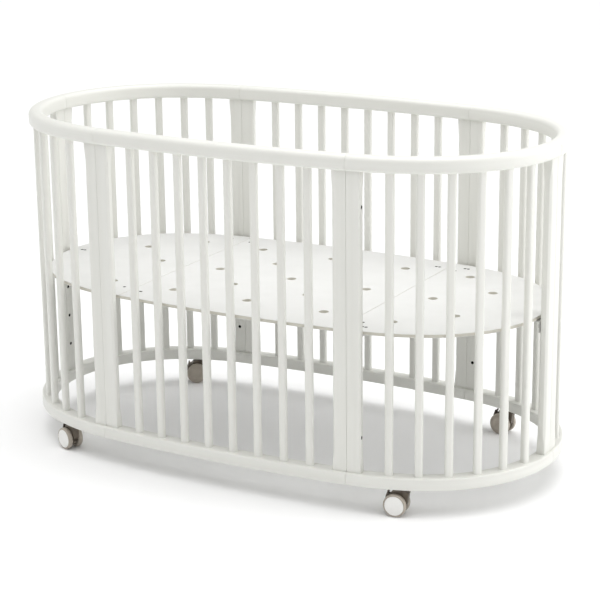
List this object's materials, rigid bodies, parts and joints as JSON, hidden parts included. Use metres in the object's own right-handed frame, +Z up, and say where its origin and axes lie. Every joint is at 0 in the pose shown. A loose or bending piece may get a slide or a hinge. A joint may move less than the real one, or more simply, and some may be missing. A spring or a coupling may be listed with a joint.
{
  "type": "baby crib",
  "caption": "Oval baby crib of white slatted sections joined at double posts, with a drilled three-panel mattress base and braked twin-wheel casters.",
  "frame": {"origin": "on the floor, below the middle of the oval", "axes": "+X along the crib's length to the right, +Y to the back, +Z up"},
  "size_m": [1.391, 0.728, 0.829],
  "materials": {
    "white_lacquer": "satin white lacquer on solid hardwood",
    "base_board": "white faced plywood board with a raw beige edge",
    "bare_wood": "bare beech dowel",
    "dark_steel": "black oxide screws, bolts and threaded sleeves",
    "brass_insert": "turned threaded sleeve",
    "zinc_steel": "zinc plated steel",
    "dark_plastic": "moulded dark brown nylon",
    "taupe_plastic": "moulded taupe nylon tread",
    "white_plastic": "white snap-in disc"
  },
  "bodies": {
    "frame": {"bottom_rail_back": "white_lacquer", "bottom_rail_back_left": "white_lacquer", "bottom_rail_back_right": "white_lacquer", "bottom_rail_front": "white_lacquer", "bottom_rail_front_left": "white_lacquer", "bottom_rail_front_right": "white_lacquer", "post_back_left": "white_lacquer", "post_back_right": "white_lacquer", "post_front_left": "white_lacquer", "post_front_right": "white_lacquer", "post_left_end": "white_lacquer", "post_right_end": "white_lacquer", "slats_back": "white_lacquer", "slats_back_left": "white_lacquer", "slats_back_right": "white_lacquer", "slats_front": "white_lacquer", "slats_front_left": "white_lacquer", "slats_front_right": "white_lacquer", "top_rail_back": "white_lacquer", "top_rail_back_left": "white_lacquer", "top_rail_back_right": "white_lacquer", "top_rail_front": "white_lacquer", "top_rail_front_left": "white_lacquer", "top_rail_front_right": "white_lacquer", "section_bolts": "dark_steel", "section_inserts": "brass_insert", "base_inserts": "dark_steel", "base_pins": "zinc_steel", "caster_sockets": "dark_plastic", "caster_stems": "zinc_steel"},
    "mattress_base": {"base_panel_left": "base_board", "base_panel_center": "base_board", "base_panel_right": "base_board", "base_brackets": "zinc_steel", "base_screws": "dark_steel", "base_dowels": "bare_wood"},
    "caster_front_left": {"caster_hood_front_left": "dark_plastic", "caster_axle_front_left": "zinc_steel"},
    "wheel_out_front_left": {"outer_wheel_front_left": "taupe_plastic", "wheel_cap_front_left": "white_plastic"},
    "wheel_in_front_left": {"inner_wheel_front_left": "taupe_plastic"},
    "brake_front_left": {"brake_lever_front_left": "dark_plastic"},
    "caster_front_right": {"caster_hood_front_right": "dark_plastic", "caster_axle_front_right": "zinc_steel"},
    "wheel_out_front_right": {"outer_wheel_front_right": "taupe_plastic", "wheel_cap_front_right": "white_plastic"},
    "wheel_in_front_right": {"inner_wheel_front_right": "taupe_plastic"},
    "brake_front_right": {"brake_lever_front_right": "dark_plastic"},
    "caster_back_left": {"caster_hood_back_left": "dark_plastic", "caster_axle_back_left": "zinc_steel"},
    "wheel_out_back_left": {"outer_wheel_back_left": "taupe_plastic", "wheel_cap_back_left": "white_plastic"},
    "wheel_in_back_left": {"inner_wheel_back_left": "taupe_plastic"},
    "brake_back_left": {"brake_lever_back_left": "dark_plastic"},
    "caster_back_right": {"caster_hood_back_right": "dark_plastic", "caster_axle_back_right": "zinc_steel"},
    "wheel_out_back_right": {"outer_wheel_back_right": "taupe_plastic", "wheel_cap_back_right": "white_plastic"},
    "wheel_in_back_right": {"inner_wheel_back_right": "taupe_plastic"},
    "brake_back_right": {"brake_lever_back_right": "dark_plastic"}
  },
  "joints": [
    {"name": "mattress_base_lift", "type": "slide", "parent": "frame", "child": "mattress_base", "axis": [0, 0, 1], "range_m": [0, 0.36]},
    {"name": "swivel_front_left", "type": "hinge", "parent": "frame", "child": "caster_front_left", "pos_m": [-0.458, -0.30205, 0.05], "axis": [0, 0, 1], "continuous": true},
    {"name": "roll_out_front_left", "type": "hinge", "parent": "caster_front_left", "child": "wheel_out_front_left", "pos_m": [-0.4748, -0.29559, 0.027], "axis": [-0.3584, -0.9336, 0], "continuous": true},
    {"name": "roll_in_front_left", "type": "hinge", "parent": "caster_front_left", "child": "wheel_in_front_left", "pos_m": [-0.4748, -0.29559, 0.027], "axis": [-0.3584, -0.9336, 0], "continuous": true},
    {"name": "brake_front_left", "type": "hinge", "parent": "caster_front_left", "child": "brake_front_left", "pos_m": [-0.48974, -0.28986, 0.046], "axis": [-0.3584, -0.9336, 0], "range_deg": [0, 10]},
    {"name": "swivel_front_right", "type": "hinge", "parent": "frame", "child": "caster_front_right", "pos_m": [0.458, -0.30205, 0.05], "axis": [0, 0, 1], "continuous": true},
    {"name": "roll_out_front_right", "type": "hinge", "parent": "caster_front_right", "child": "wheel_out_front_right", "pos_m": [0.44017, -0.30455, 0.027], "axis": [0.1392, -0.9903, 0], "continuous": true},
    {"name": "roll_in_front_right", "type": "hinge", "parent": "caster_front_right", "child": "wheel_in_front_right", "pos_m": [0.44017, -0.30455, 0.027], "axis": [0.1392, -0.9903, 0], "continuous": true},
    {"name": "brake_front_right", "type": "hinge", "parent": "caster_front_right", "child": "brake_front_right", "pos_m": [0.42433, -0.30678, 0.046], "axis": [0.1392, -0.9903, 0], "range_deg": [0, 10]},
    {"name": "swivel_back_left", "type": "hinge", "parent": "frame", "child": "caster_back_left", "pos_m": [-0.458, 0.30205, 0.05], "axis": [0, 0, 1], "continuous": true},
    {"name": "roll_out_back_left", "type": "hinge", "parent": "caster_back_left", "child": "wheel_out_back_left", "pos_m": [-0.47218, 0.29096, 0.027], "axis": [0.6157, -0.788, 0], "continuous": true},
    {"name": "roll_in_back_left", "type": "hinge", "parent": "caster_back_left", "child": "wheel_in_back_left", "pos_m": [-0.47218, 0.29096, 0.027], "axis": [0.6157, -0.788, 0], "continuous": true},
    {"name": "brake_back_left", "type": "hinge", "parent": "caster_back_left", "child": "brake_back_left", "pos_m": [-0.48479, 0.28111, 0.046], "axis": [0.6157, -0.788, 0], "range_deg": [0, 10]},
    {"name": "swivel_back_right", "type": "hinge", "parent": "frame", "child": "caster_back_right", "pos_m": [0.458, 0.30205, 0.05], "axis": [0, 0, 1], "continuous": true},
    {"name": "roll_out_back_right", "type": "hinge", "parent": "caster_back_right", "child": "wheel_out_back_right", "pos_m": [0.44013, 0.30424, 0.027], "axis": [-0.1219, -0.9925, 0], "continuous": true},
    {"name": "roll_in_back_right", "type": "hinge", "parent": "caster_back_right", "child": "wheel_in_back_right", "pos_m": [0.44013, 0.30424, 0.027], "axis": [-0.1219, -0.9925, 0], "continuous": true},
    {"name": "brake_back_right", "type": "hinge", "parent": "caster_back_right", "child": "brake_back_right", "pos_m": [0.42425, 0.30619, 0.046], "axis": [-0.1219, -0.9925, 0], "range_deg": [0, 10]}
  ]
}
